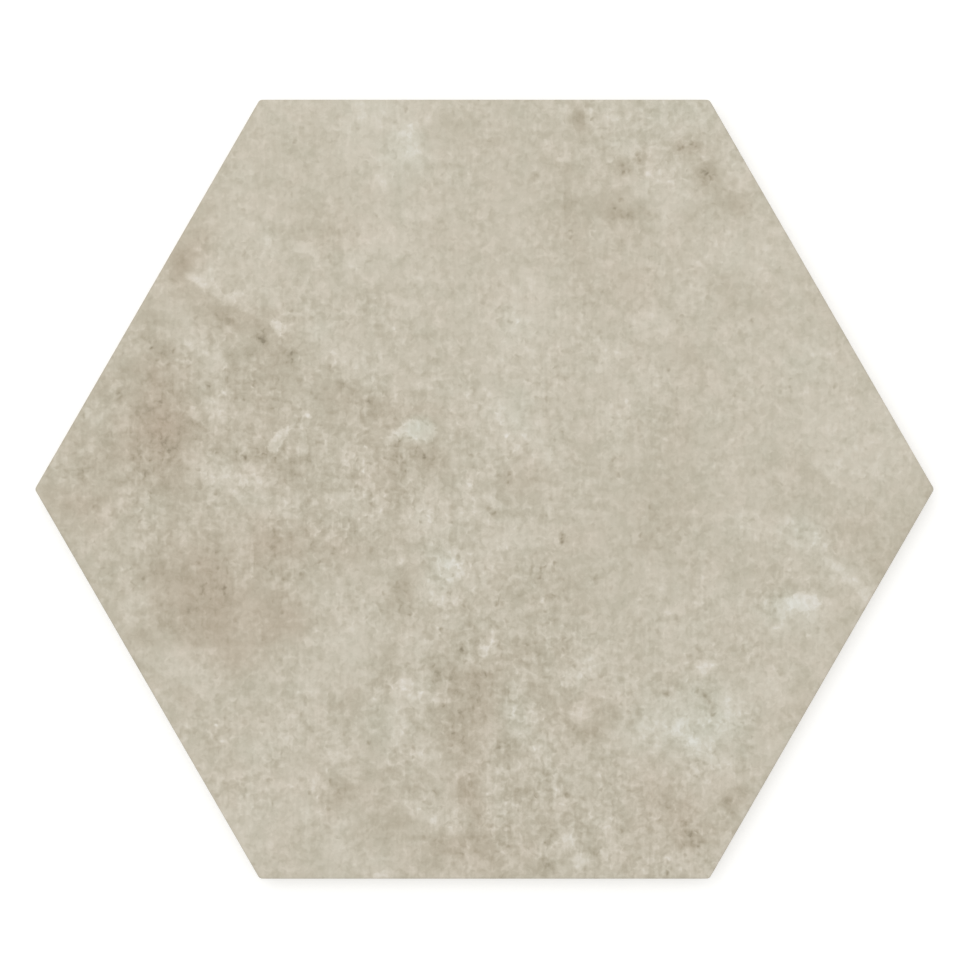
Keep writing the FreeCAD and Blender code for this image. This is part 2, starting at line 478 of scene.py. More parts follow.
# %% Lay the wide clouds
CLOUDS = {
    -12: [(-80, -34, 40, 33), (-4, -62, 26, 35)],
    -9: [(-99, 18, 36, 50), (-64, 35, 33, 27, -34), (-1, -107, 50, 18), (60, -104, 34, 17)],
    -8: [(-92, -2, 80, 100), (-35, 24, 28, 17, -34), (-55, -18, 44, 24), (-55, 9, 38, 26)],
    -7: [(-22, 7, 26, 20)],
    -6: [(21, -30, 27, 24), (54, -3, 24, 45), (34, 80, 39, 24), (124, -15, 30, 18, -35)],
    -5: [(70, 92, 24, 24), (31, -69, 30, 21), (-34, -92, 33, 24, -30)],
    -4: [(100, 0, 30, 12, -30)],
    -3: [(-124, -2, 22, 14)],
    3: [(82, 73, 30, 26)],
    4: [(40, 24, 22, 26), (-30, 74, 24, 22), (-60, 112, 24, 14), (62, 108, 30, 12)],
    5: [(105, 30, 90, 115), (31, -51, 15, 12)],
    6: [(11, 50, 38, 41), (115, 15, 33, 33), (-73, 1, 20, 12), (-73, 73, 27, 24)],
    7: [(6, 24, 21, 21), (-10, -22, 19, 30), (-41, -44, 19, 27), (92, -35, 21, 15), (-91, -56, 22, 18)],
    8: [(-74, -100, 36, 32)],
    9: [(60, -70, 33, 24, -30)],
    10: [(-30, 107, 30, 33)],
}
PLAIN_TONE = 6.0
CLOUD_FADE = (0.0, 0.75)

tone = np.full(len(mesh.vertices), PLAIN_TONE)
paint_stains(tone, CLOUDS, *CLOUD_FADE)
print("tone of the clouds, steps:", round(float(tone.min()), 1), "to", round(float(tone.max()), 1))

# %% [markdown]
# ## The print: patches
#
# Smaller patches give the clouds their broken inside: brown ones in the left half and along the bottom, and pale
# ones where a stone would be polished. They are laid in the same way.

# %% Lay the smaller patches
PATCHES = {
    -17: [(-92, 67, 13, 12)],
    -15: [(-4, -92, 8, 14)],
    -12: [(-47, 31, 12, 9), (75, -94, 10, 8)],
    -11: [(-74, 50, 20, 8, -30), (-25, -31, 10, 14), (58, -105, 11, 9)],
    -10: [(-60, -35, 16, 11), (-88, 74, 12, 10), (14, -66, 9, 9)],
    -9: [
        (-101, 34, 13, 12), (-63, -17, 10, 8), (-15, 15, 8, 9), (-2, -58, 11, 9), (-44, -87, 8, 7), (-93, 15, 11, 11),
        (-22, -28, 9, 13),
    ],
    -8: [
        (-97, 18, 13, 22), (14, -47, 15, 9), (16, -61, 10, 8), (18, -113, 10, 7), (42, 83, 11, 7), (74, 85, 10, 7),
        (-66, 51, 9, 11), (-10, -56, 12, 11), (-44, -87, 11, 11), (-15, 8, 12, 9), (-94, -60, 20, 10, -35),
        (-75, -53, 10, 11),
    ],
    -7: [
        (-94, 2, 9, 9), (-83, -32, 18, 13), (-81, -22, 8, 10), (-34, 28, 14, 7, -35), (-31, 22, 8, 7), (-66, 15, 9, 8),
        (-14, -50, 12, 8), (-13, -106, 13, 7), (-28, -101, 10, 7), (11, 1, 12, 12), (68, 93, 8, 10), (-100, 49, 9, 13),
        (-80, 53, 18, 8, -40), (-42, 38, 10, 9), (-118, 7, 8, 9), (-59, -43, 15, 9), (-17, -18, 14, 6),
        (-30, -52, 7, 14), (-5, -38, 7, 15), (12, -50, 15, 8), (30, -74, 11, 8), (6, -80, 11, 7), (27, -99, 9, 8),
        (18, -103, 7, 7), (85, -49, 8, 7), (30, 110, 7, 12), (26, -50, 9, 9), (-99, 54, 9, 9), (-44, 29, 13, 9),
    ],
    -6: [
        (-88, 21, 7, 8), (-82, -43, 20, 9), (-102, -45, 10, 8), (-9, -14, 10, 7), (-64, 41, 16, 13), (-95, 41, 9, 10),
        (-119, -4, 13, 9), (-55, 9, 12, 8), (-25, -4, 6, 14), (-4, -69, 9, 10), (8, -79, 12, 9), (25, 83, 7, 7),
        (28, 111, 7, 6), (42, 97, 8, 6), (61, 39, 11, 9), (98, 3, 9, 6), (-82, 82, 9, 8), (-118, 17, 10, 8),
        (-128, -2, 11, 11), (-60, 38, 9, 8), (-18, 22, 8, 8), (-4, -35, 6, 13), (-58, -42, 11, 7), (-12, -54, 11, 8),
        (-6, -88, 7, 15), (10, -50, 13, 8), (25, -45, 8, 8), (56, -95, 11, 11), (56, -74, 7, 6), (80, 53, 9, 8),
        (-98, 42, 13, 9), (-99, 31, 9, 8), (-92, -38, 14, 8), (-8, -73, 8, 9), (-8, -87, 6, 11), (-26, -99, 9, 7),
        (13, -89, 14, 8), (52, -90, 8, 9), (45, -110, 8, 8), (73, -93, 11, 6), (46, -66, 8, 8), (108, -11, 11, 7),
        (130, 0, 8, 8), (114, 30, 7, 8), (73, 54, 8, 10), (65, 95, 8, 8), (-31, 107, 9, 9), (-45, 75, 8, 8),
        (-66, -45, 8, 12), (-112, 30, 9, 9), (60, 103, 9, 8), (9, -93, 18, 9), (92, -31, 11, 9), (-45, -40, 8, 7),
        (-88, -62, 8, 7), (-9, -28, 6, 9), (-59, 46, 8, 6), (-80, 58, 12, 6, -25), (75, -65, 7, 7),
    ],
    -5: [
        (-104, 8, 10, 10), (-75, 34, 8, 10), (-54, 44, 9, 7), (-95, -26, 18, 10), (-75, -48, 13, 9), (-21, 9, 18, 8),
        (-46, -18, 12, 8), (-1, -107, 10, 7), (-30, -85, 9, 6), (31, -68, 15, 10), (-28, -49, 6, 18), (-40, -64, 10, 9),
        (34, 59, 14, 10), (61, 101, 8, 5), (-52, 82, 13, 13), (72, 60, 12, 9), (98, 62, 5, 6), (119, -19, 14, 8, -40),
        (-45, 22, 7, 8), (-17, 9, 8, 10), (-7, -76, 8, 10), (-99, -46, 9, 10), (-44, -68, 8, 8), (46, -90, 10, 8),
        (18, -100, 8, 7), (90, -29, 8, 6), (99, -7, 11, 7), (18, 98, 8, 9), (46, 83, 8, 7), (-60, 75, 9, 8),
        (-89, 68, 12, 8), (-26, 24, 13, 7), (-122, -5, 12, 7), (-98, -24, 10, 9), (-82, -16, 7, 9), (-35, -18, 12, 7),
        (-18, -89, 11, 7), (93, -66, 8, 8), (118, -24, 8, 9), (85, -23, 9, 6), (94, 7, 8, 9), (104, 49, 7, 9),
        (-73, 70, 8, 11), (-33, 57, 7, 7), (-5, 15, 8, 8), (16, -20, 11, 7), (45, 18, 7, 7), (-80, -74, 8, 9),
        (96, -31, 7, 7), (-68, 7, 10, 7), (-123, 13, 9, 9), (-82, 71, 7, 8), (-19, 104, 11, 9), (2, 104, 12, 9),
        (-77, -92, 9, 11), (-20, -38, 16, 8), (-26, -14, 7, 16), (60, -109, 11, 10), (24, -94, 13, 8), (-88, 60, 11, 9),
        (-80, 48, 14, 7, -30), (-30, 2, 8, 8), (-52, -11, 9, 7), (56, -57, 9, 11), (3, -32, 8, 14), (-33, 90, 10, 11),
        (28, 64, 8, 17), (-98, -31, 9, 7), (-13, -101, 15, 8, -20), (-2, -97, 7, 8), (12, -105, 7, 9), (-12, -45, 9, 7),
        (60, -96, 8, 8), (87, -6, 12, 5), (-39, 33, 9, 7), (-18, 21, 13, 7), (-91, 11, 8, 6), (-22, -66, 7, 7),
        (-54, 74, 7, 8),
    ],
    -4: [
        (-35, -17, 10, 8), (14, -92, 8, 7), (46, -89, 16, 10, -30), (22, -31, 13, 15), (-70, -66, 7, 8), (25, 95, 8, 9),
        (-41, 95, 7, 6), (85, 7, 18, 7), (48, -18, 9, 8), (-34, 57, 8, 7), (-27, 4, 6, 12), (-70, -53, 11, 7),
        (115, 20, 11, 19), (91, -2, 9, 7), (94, 50, 7, 8), (-37, 107, 8, 8), (-12, 110, 8, 7), (22, -48, 7, 8),
        (66, -64, 6, 7), (36, 84, 12, 7), (28, -37, 7, 13), (-59, -105, 15, 14), (28, -14, 11, 8), (3, 59, 9, 8),
        (-38, -66, 8, 14), (98, 56, 8, 8), (85, 55, 7, 11), (-79, 24, 9, 9), (27, 10, 8, 9), (-63, -19, 9, 8),
        (-28, -57, 9, 8), (-12, -80, 6, 15), (45, -97, 9, 6), (101, 8, 8, 9), (59, 15, 6, 8), (-61, -31, 7, 6),
        (32, -63, 9, 6, 20), (-41, 6, 7, 7), (-13, 8, 8, 6), (-36, -102, 11, 8),
    ],
    -3: [
        (-111, 12, 8, 7), (8, -30, 7, 7), (28, 73, 6, 18), (-7, 107, 12, 12), (54, 18, 10, 16), (30, 14, 12, 8),
        (51, -12, 12, 18), (74, -21, 15, 9), (-18, 43, 10, 8), (65, -63, 7, 7), (-55, 44, 9, 9), (76, 86, 10, 6),
        (108, 27, 9, 13), (80, 22, 9, 11), (-53, -41, 8, 7), (58, 15, 7, 12), (-16, 78, 8, 8), (-25, -46, 8, 9),
        (85, -50, 17, 7), (52, 95, 13, 10),
    ],
    -2: [(-47, -3, 7, 13)],
    2: [(-27, 74, 9, 12), (-55, 23, 8, 8), (72, -84, 9, 8), (-15, -32, 7, 17, 20), (-51, 46, 8, 7)],
    3: [
        (50, -38, 7, 11), (-33, 110, 12, 9), (-17, 66, 9, 10), (11, 47, 18, 16), (48, 32, 14, 12), (9, 83, 12, 14),
        (-41, -43, 10, 16), (-77, -64, 7, 7), (115, 7, 7, 6), (78, 70, 14, 10), (-91, 56, 5, 18, 40), (31, -52, 7, 6),
        (55, -50, 12, 8),
    ],
    4: [
        (73, 86, 9, 9), (-14, 113, 8, 5), (-31, 92, 8, 6), (-31, 74, 10, 11), (19, 10, 6, 12), (51, 49, 12, 7),
        (80, 98, 10, 10), (44, 102, 6, 4), (-91, -54, 12, 12), (-42, -107, 9, 9), (11, -68, 8, 9), (10, 17, 12, 7),
        (72, -32, 14, 14), (49, -67, 12, 6), (41, -72, 5, 5), (78, -8, 12, 6), (87, -76, 10, 12), (-43, 13, 9, 7),
        (-104, -9, 9, 7), (5, -15, 8, 8), (10, -66, 8, 13), (35, 78, 8, 13), (50, 50, 20, 10), (38, 112, 9, 8),
        (35, 38, 10, 10), (15, 17, 12, 9), (72, -106, 7, 10), (8, -109, 10, 7), (-17, -80, 8, 8), (-42, -80, 10, 8),
        (-88, -14, 8, 8), (97, -15, 10, 8), (6, -92, 7, 8), (85, -12, 11, 6), (-35, 37, 12, 7), (-25, 54, 12, 7),
        (47, 90, 8, 12), (5, -107, 8, 7), (-12, -12, 17, 8, 30), (-118, 2, 9, 8), (64, 18, 8, 8), (25, 10, 8, 13),
        (-18, 60, 14, 8), (-25, 85, 9, 9), (68, -73, 9, 8), (52, 70, 9, 8), (-40, -97, 7, 10), (72, 95, 10, 11),
        (10, 75, 9, 11), (-8, 114, 9, 7), (10, 114, 9, 7), (-90, 15, 15, 6, 15), (-82, -16, 10, 10), (76, -10, 13, 7),
        (-8, 93, 12, 9, -30), (117, 24, 8, 12), (53, 105, 9, 7), (-114, 18, 8, 7), (68, -69, 8, 7), (90, -64, 7, 10),
    ],
    5: [
        (-46, -113, 8, 7), (-70, 43, 7, 6), (-65, 71, 7, 8), (14, 60, 9, 7), (5, 24, 9, 8), (12, -16, 14, 7),
        (40, 112, 8, 6), (37, 41, 12, 10), (-117, 20, 9, 9), (-13, -24, 8, 12), (-61, -75, 12, 8), (-22, -96, 7, 5),
        (15, -78, 15, 6, -40), (72, -66, 7, 12), (-73, 1, 10, 6), (-84, 7, 6, 5), (-88, -13, 7, 5), (-98, -5, 9, 8),
        (-105, -15, 12, 8), (-38, 66, 8, 7), (-3, -5, 9, 8), (43, 70, 8, 8), (50, 92, 10, 8), (76, 98, 9, 9),
        (82, 66, 8, 8), (38, 20, 8, 10), (51, -27, 10, 10), (65, -52, 8, 8), (87, -52, 18, 15), (100, -38, 9, 10),
        (62, -113, 13, 7), (-38, -98, 8, 9), (-46, -108, 7, 10), (-60, -72, 8, 8), (-52, -58, 7, 10), (-115, -18, 9, 9),
        (-53, -60, 8, 8), (-32, -112, 12, 8), (44, -88, 8, 9), (55, -40, 9, 17), (67, -32, 8, 8), (8, -15, 13, 9),
        (54, 82, 9, 12), (70, 70, 15, 11), (-22, 102, 8, 14), (-72, 92, 8, 14), (-48, 49, 11, 7), (-15, 32, 12, 7),
        (-40, 67, 8, 8), (33, 77, 8, 14, 30), (50, 114, 10, 7), (-40, 110, 9, 17), (72, -110, 8, 9), (-30, -88, 13, 7),
        (-74, -43, 8, 7), (-52, -33, 18, 7, 15), (-10, -53, 10, 7), (-20, 9, 14, 12, 30), (-95, 37, 10, 11, 30),
        (-105, 7, 15, 8, 30), (-50, 48, 9, 9), (-57, -9, 8, 9), (-80, -10, 9, 18), (46, -64, 10, 8), (-34, 60, 9, 11),
        (45, 54, 12, 11), (63, 57, 11, 11), (28, -56, 13, 8), (48, -75, 14, 8), (0, -86, 6, 11), (82, -38, 9, 12),
        (-43, -1, 9, 6), (-98, -9, 8, 9), (28, -43, 13, 7), (119, -12, 7, 10), (-86, 67, 8, 7), (-68, 42, 7, 6),
        (66, -109, 7, 7),
    ],
    6: [
        (5, -8, 7, 7), (54, 86, 10, 8), (-14, -32, 7, 6), (-45, -77, 11, 7), (-18, -81, 7, 6), (28, -111, 7, 5),
        (94, -12, 24, 5, -25), (82, -57, 16, 14), (-90, 12, 8, 8), (70, -66, 8, 7), (73, -84, 8, 8), (20, -105, 9, 7),
        (5, -96, 7, 7), (-10, -98, 8, 8), (-86, -46, 9, 9), (-68, 17, 8, 13), (-105, -4, 13, 8), (-105, -35, 7, 7),
        (-54, -86, 8, 8), (-52, -97, 12, 8), (-42, -104, 7, 16), (-17, -62, 9, 8), (-24, -69, 8, 11), (3, -97, 8, 7),
        (87, -60, 8, 8), (88, -41, 7, 8), (100, -47, 9, 14), (43, -74, 11, 7), (98, 18, 7, 7), (93, 52, 7, 7),
        (40, 12, 7, 10), (-65, 60, 7, 7), (82, -78, 10, 8), (-4, -38, 12, 8), (-66, 57, 10, 7), (-80, 47, 8, 13),
        (-47, 31, 10, 8), (17, -48, 9, 10), (63, -41, 11, 9), (-44, -85, 17, 8, 10), (-75, 56, 15, 8), (-95, -65, 8, 8),
        (-60, -11, 9, 7), (-101, -33, 7, 10), (-11, 28, 8, 7),
    ],
    7: [
        (-8, -52, 8, 7), (-13, -101, 10, 6), (-24, 103, 9, 12), (-43, 42, 12, 7, -30), (61, 87, 8, 7),
        (-54, -94, 11, 8), (-28, -112, 9, 6), (-16, -97, 8, 6), (57, -73, 18, 7, -35), (-68, 5, 10, 8),
        (-57, -3, 10, 8), (-79, 38, 8, 11), (-72, -16, 8, 12), (-40, 38, 11, 8), (-18, -8, 10, 8), (-89, 46, 8, 9),
        (-80, 36, 9, 10), (-77, 3, 10, 8), (-42, 8, 7, 11), (-112, 23, 15, 7), (-15, -96, 11, 7), (57, -112, 14, 8),
        (65, -52, 8, 7), (113, -31, 8, 7), (26, -55, 7, 9), (70, -60, 10, 9), (-5, 0, 8, 8), (72, 100, 8, 9),
        (-18, 83, 13, 7), (-31, 92, 6, 11), (52, -106, 22, 10, -20), (-68, -78, 12, 10), (-93, -46, 13, 9),
        (-40, -2, 9, 8), (-96, 64, 8, 8), (69, -97, 8, 8),
    ],
    8: [
        (54, 94, 14, 10), (-84, 62, 8, 4, -30), (-23, -60, 9, 10), (110, -27, 12, 5, -45), (-85, 44, 7, 12, 30),
        (-71, -18, 4, 9), (-104, -35, 7, 7), (-21, -46, 9, 8), (30, -66, 8, 7), (113, -31, 7, 9), (-85, 10, 7, 7),
        (28, -66, 7, 9), (104, -24, 17, 10, -30), (77, 93, 8, 7), (23, 114, 8, 5), (-71, -3, 9, 8),
    ],
    9: [
        (0, -48, 5, 5), (65, -88, 9, 11), (93, -34, 8, 6), (103, 6, 8, 7), (-79, 24, 9, 8), (-80, 23, 8, 8),
        (-64, -4, 15, 8), (25, -106, 8, 6), (40, -60, 11, 7), (60, 90, 8, 7), (-33, 32, 10, 8),
    ],
    10: [(-82, 4, 11, 9), (75, -65, 8, 8), (42, 104, 11, 8)],
    12: [(-72, -25, 7, 8)],
}
PATCH_FADE = (0.18, 0.64)

paint_stains(tone, PATCHES, *PATCH_FADE)
store("tone", tone)
print("tone of the stains, steps:", round(float(tone.min()), 1), "to", round(float(tone.max()), 1))

# %% [markdown]
# ## The print: mottle and warmth
#
# The print is not equally busy everywhere. Its lower middle is mottled, and the upper right is almost smooth, so one
# more number says how strongly the grain shows. Another says how warm the colour is: iron has turned the brown
# patches pinkish, and the white ones, below zero, are a little green and cold. Its unit is one level of red over
# green.

# %% Paint the mottle and the warmth
PLAIN_MOTTLE = 0.72
MOTTLED = {
    0.15: [(35, 35, 70, 60)],
    0.2: [(95, -25, 45, 45)],
    0.3: [(-15, 0, 80, 60), (50, 105, 70, 45), (-62, -80, 70, 60), (62, -60, 60, 60)],
    0.55: [(-70, 12, 130, 95)],
    0.6: [(35, -105, 110, 55)],
    0.65: [(2, -60, 75, 90)],
}
WARM_STAINS = {
    -8: [(-20, 16, 12, 8)],
    -6: [(63, -70, 29, 28)],
    -5: [(10, -68, 15, 18)],
    -4: [(-24, 99, 17, 17), (91, -35, 17, 13), (-12, -22, 11, 13)],
    -3: [(10, 24, 11, 11), (96, 39, 13, 14), (96, -13, 15, 15), (58, 112, 44, 14)],
    -2: [(45, -71, 16, 12), (10, 49, 11, 11), (-28, -70, 18, 18), (-35, 112, 24, 12)],
    0.8: [(20, 72, 95, 55)],
    1: [(28, -13, 18, 12)],
    2: [
        (-45, -17, 30, 15), (-84, 75, 15, 15), (-74, 52, 30, 20), (-67, 18, 20, 32), (-28, 23, 34, 22),
        (-28, 5, 22, 26), (12, 4, 18, 15), (-42, -90, 38, 20), (-76, -86, 12, 18), (27, -66, 36, 20), (62, 36, 15, 20),
        (44, 60, 15, 20), (-42, 77, 30, 12), (110, -12, 18, 15), (92, -62, 15, 15), (-97, 17, 16, 12),
    ],
    3: [
        (-74, -46, 28, 20), (-118, -4, 26, 24), (-2, -66, 20, 30), (-5, -88, 15, 30), (-3, -108, 38, 20),
        (57, -95, 36, 40),
    ],
    4: [(-96, 32, 20, 20), (-62, -14, 20, 20), (-58, -38, 18, 15), (-91, 66, 18, 20)],
    5: [(-97, 16, 32, 26), (-82, -30, 38, 40)],
}

mottle = np.full(len(mesh.vertices), PLAIN_MOTTLE)
paint_stains(mottle, MOTTLED, *CLOUD_FADE)
store("mottle", mottle)
warmth = np.zeros(len(mesh.vertices))
paint_stains(warmth, WARM_STAINS, *CLOUD_FADE)
store("warmth", warmth)
print("mottle from", round(float(mottle.min()), 2), "to", round(float(mottle.max()), 2))
print("warmth from", round(float(warmth.min()), 1), "to", round(float(warmth.max()), 1))

# %% [markdown]
# ## The print: white flecks
#
# Here and there lime white shows through in crisp, torn flecks, like the crescent near the middle, and a few marks
# are dark, with steps below zero. They are ovals too, but the number that is stored is a distance: how many
# millimetres a vertex lies inside the edge of the nearest one. The shader adds a noise to it and cuts it off
# sharply, so a fleck ends in a ragged line, finer than the lattice.

# %% Mark the flecks
FLECKS = {
    -13: [(58, 101.4, 2.2, 1.9), (-66.6, 45, 2.6, 1.4, -20), (54, -60.6, 1.4, 1)],
    -12: [(65.6, -61.4, 3.6, 1, -42), (62.3, 102.4, 2.8, 1.8, 15), (23.1, -14.4, 1.1, 2.4, -15)],
    -11: [(46.2, 98.4, 2.6, 2), (2.4, -6.8, 3.2, 1.2, -42)],
    -10: [(7, 3.6, 1.5, 3.2), (67.9, -65.4, 0.9, 2.4)],
    -9: [
        (41, 96.8, 3, 2.8), (41.3, 94.2, 1.4, 1.4), (65.6, 94.6, 4, 2.4, -30), (-67.1, 26.8, 1.8, 0.8, 25),
        (39.6, -66.7, 1.8, 2.2), (5, -81.2, 2.6, 1.6),
    ],
    -8: [
        (56.6, 76.8, 1.8, 1.1), (83.8, 60.7, 1.2, 1), (-1, -1.4, 0.7, 2.4), (26.8, 8.6, 1.8, 0.8, -40),
        (-6.8, -90.4, 1.3, 5.5),
    ],
    -7: [
        (60, -59.4, 3.2, 0.7, -5), (62.4, -69.4, 2, 0.8), (62.3, 81, 2.8, 1.2, 40), (28, 110.3, 2, 4.4),
        (70.6, 63.6, 3.4, 1.3, -45), (3.6, 9.8, 1.4, 0.9), (31.8, -5.5, 1.2, 1), (32.6, -72.9, 3.4, 1.8),
        (11.6, -90.4, 2.2, 1.2), (-77.6, 51.4, 5, 1.4, -35),
    ],
    -6: [
        (24.8, 85, 1.4, 6), (24.3, 95.4, 2.6, 1.6), (26, 75.2, 2.2, 1.2), (42.5, 63.2, 2.2, 1.4),
        (-88, 66.6, 3, 1.8, -40),
    ],
    -5: [(73.5, 85, 6, 3.6, -30)],
    -4: [(39, 84.6, 8.5, 4.6)],
    4: [(-22, -60.5, 5.5, 5.5)],
    6: [(98, -38, 2, 1.8), (-14.7, -30.3, 4, 3)],
    7: [
        (-52, -44.6, 1.5, 1), (-50, 35.5, 1, 1), (-4.6, 56.3, 1.2, 0.9), (8.8, 47.7, 2, 1), (60.3, -5.6, 1.2, 0.8),
        (61.2, -67.8, 1.6, 1), (53.7, -59.2, 1.5, 0.8), (2.4, -75.5, 1.8, 2),
    ],
    8: [
        (-69.2, -20.4, 0.6, 7), (-67.4, 8.7, 1.3, 1), (-10, -32.7, 1.5, 1), (-6.4, 67.9, 1.3, 0.9),
        (75.7, -8.3, 2, 0.8, -25), (90.6, -15.1, 6, 1.2, -25), (55.8, -62.7, 3, 0.9, 30), (64.1, -62.7, 3, 0.9, -30),
        (35.4, -98.6, 3.2, 1.8), (24.6, -104.1, 2.2, 2), (-9.4, -110, 1.5, 1.3), (17.7, -76.4, 2.4, 1.3),
        (8.1, -96.5, 1.8, 1.6), (9.5, -110.4, 1.2, 1.8),
    ],
    9: [
        (-79, 2, 5, 1.3, 25), (-69.8, 2.4, 2, 1), (-88, -5.3, 1.8, 0.9), (22.8, 8.4, 1.2, 1.8),
        (-17.2, -7.4, 2.2, 1.8), (-7, -53.5, 1, 1), (-15.6, -58, 1, 1), (88.3, -37.2, 1.5, 2.6),
        (103, -22, 6, 1.4, -38), (108.5, -27.6, 3.5, 1.2, -40), (46.6, -70.8, 2.5, 1.2), (62, -66.4, 2.8, 0.8, 5),
        (65.6, -68.8, 0.8, 2.4, -20), (17.7, 9.3, 5, 1.1, -25), (5.3, 10.6, 2.6, 1, 20), (7, 16.8, 2.4, 1.1),
        (-6.4, -52.3, 2.6, 1.2),
    ],
    10: [
        (-49.6, -13.9, 0.9, 0.9), (-7, 12.9, 2, 1.2), (5.8, 17, 1.5, 0.8), (16.5, 14.6, 1.8, 0.9, -40),
        (13, 18.2, 1.4, 0.7), (57.6, -69.6, 2.6, 1.4, 20), (56.7, -73.2, 3, 1, -35),
    ],
    11: [(18.9, 11.7, 1.8, 1, -45), (1.6, -3, 1.6, 1.3, -30), (87.6, -33.8, 4.2, 1.5, -8), (28.4, -110.6, 2, 3.2)],
    12: [(-81.4, 64.2, 1.5, 2.2), (-70.2, 53.6, 4, 1.4, -35)],
    13: [
        (-83.4, 61.8, 3.4, 2.1, -40), (-79.8, 58.4, 3, 1.4, -40), (-73.2, 58.2, 2.6, 1.4, 40), (-54, 72, 3, 2),
        (-11.2, -22, 2.4, 2), (0, -48.2, 1.9, 2.3), (67.6, -80.6, 3.6, 1.6, -38),
    ],
    14: [(-53.9, 14.6, 1.3, 3.6), (62, -75.4, 3.6, 1.9, -40)],
    15: [(-86.9, 63, 2.4, 1.8, -20), (-75.9, 56.2, 2.6, 1.6, 20)],
    16: [(-54.2, 11.8, 1.9, 2.2), (-86.2, 22.2, 3, 1.3, -54)],
    17: [(-57.8, 18.4, 2.2, 1.2, 25), (95, -33.6, 4.9, 3.1)],
    20: [
        (-20.4, 17.8, 5.4, 3.1), (-25.4, 16.4, 3.8, 1.9, 36), (-28.4, 14.3, 2.4, 1.4, 30), (-16.8, 16.4, 2.7, 2.7),
        (-61.8, 48.2, 2.6, 2, -60),
    ],
    27: [(-60.9, 15.6, 4.2, 1.9, 50), (-63, 12.9, 2, 2)],
}
FAR_AWAY = 50.0

lime = np.full(len(mesh.vertices), -FAR_AWAY)
lime_steps = np.zeros(len(mesh.vertices))
for depth, half_width, steps in soft_ovals(FLECKS, across, up):
    inside = depth * half_width
    nearer = inside > lime
    lime[nearer] = inside[nearer]
    lime_steps[nearer] = steps
store("lime", lime)
store("lime_steps", lime_steps)
print("flecks:", sum(len(ovals) for ovals in FLECKS.values()))

# %% [markdown]
# ## The print: grain
#
# Between the stains a stone is never even. The shader reads the painted tone and adds grain to it, from marks as
# wide as a thumb down to specks of half a millimetre. It works in Object coordinates, turned from metres to
# millimetres, with the height taken out, because the print lies on the tile as if shone from above. Noise alone
# looks soft, so a Voronoi texture strews crisp grains over it: each cell has one, dark or light as the cell decides.
# For the same reason the tone is gathered: a sine wave draws it towards steps of a few levels each, so that the
# clouds get ragged contours, as layers of stone have. One more noise lets the fine grain come and go in bands.

# %% Add the grain in the shader
PER_MM = 1 / MM
CENTRED = (-0.5, -0.5, -0.5)

glaze, tree = new_material("printed_matt_glaze")
place = add_node(tree, "TexCoord", output="Object")
flat = add_node(tree, "VectorMath", [place, (PER_MM, PER_MM, 0)], operation="MULTIPLY")
shifted = add_node(tree, "VectorMath", [flat, (OFF_GRID, OFF_GRID, 0)], operation="ADD")


def flat_noise(where, size, detail=2.0, roughness=0.5, output="Fac"):
    """A flat noise whose widest grains are about as wide as size, in millimetres."""
    feeds = {"Vector": where, "Scale": 1 / size, "Detail": detail, "Roughness": roughness}
    return add_node(tree, "TexNoise", feeds, output, noise_dimensions="2D")


def push(where, size, reach, detail=2.0):
    """Coordinates pushed about by a noise of the given size, by up to about the given reach."""
    drift = flat_noise(where, size, detail, 0.6, "Color")
    centred = add_node(tree, "VectorMath", [drift, CENTRED], operation="ADD")
    return add_node(tree, "VectorMath", {0: centred, 1: (2 * reach, 2 * reach, 0), 2: where}, operation="MULTIPLY_ADD")


def shade_with(tone, value, middle, steps):
    """Adds a value, counted from its middle, to a tone."""
    offset = add_node(tree, "Math", [value, -middle], operation="ADD")
    return add_node(tree, "Math", [offset, steps, tone], operation="MULTIPLY_ADD")


MIDDLE = 0.5
THUMB, THUMB_STEPS = 9.0, 42
PEA, PEA_STEPS = 4.5, 25
CRUMB, CRUMB_STEPS = 2.4, 30
STREAK, STREAK_STEPS = (1.1, 9.0), 10
TONE_STEP = 7.0
GATHERED = 0.9

crumbly = push(shifted, 2.0, 0.8, 1.0)
painted = add_node(tree, "Attribute", output="Fac", attribute_name="tone")
busy = add_node(tree, "Attribute", output="Fac", attribute_name="mottle")
clouded = shade_with(0.0, flat_noise(push(shifted, 4.0, 2.4, 3.0), THUMB, 4.0, 0.85), MIDDLE, THUMB_STEPS)
clouded = shade_with(clouded, flat_noise(crumbly, PEA, 3.0, 0.8), MIDDLE, PEA_STEPS)
clouded = add_node(tree, "Math", [clouded, busy, painted], operation="MULTIPLY_ADD")
waves = add_node(tree, "Math", [clouded, 2 * math.pi / TONE_STEP], operation="MULTIPLY")
waves = add_node(tree, "Math", [waves], operation="SINE")
stepped = add_node(tree, "Math", [waves, -GATHERED * TONE_STEP / (2 * math.pi), clouded], operation="MULTIPLY_ADD")

stretched = add_node(tree, "VectorMath", [shifted, (1 / STREAK[0], 1 / STREAK[1], 0)], operation="MULTIPLY")
grained = shade_with(0.0, flat_noise(crumbly, CRUMB, 1.0, 0.6), MIDDLE, CRUMB_STEPS)
grained = shade_with(grained, flat_noise(stretched, 1.0, 1.0, 0.6), MIDDLE, STREAK_STEPS)

GRAIN_SPACING = 2.8
GRAIN_RADIUS = 0.9
DARKEST_GRAIN = -12.0
LIGHTEST_GRAIN = 9.0
BAND = 11.0
FAINT, STRONG = 0.4, 1.6

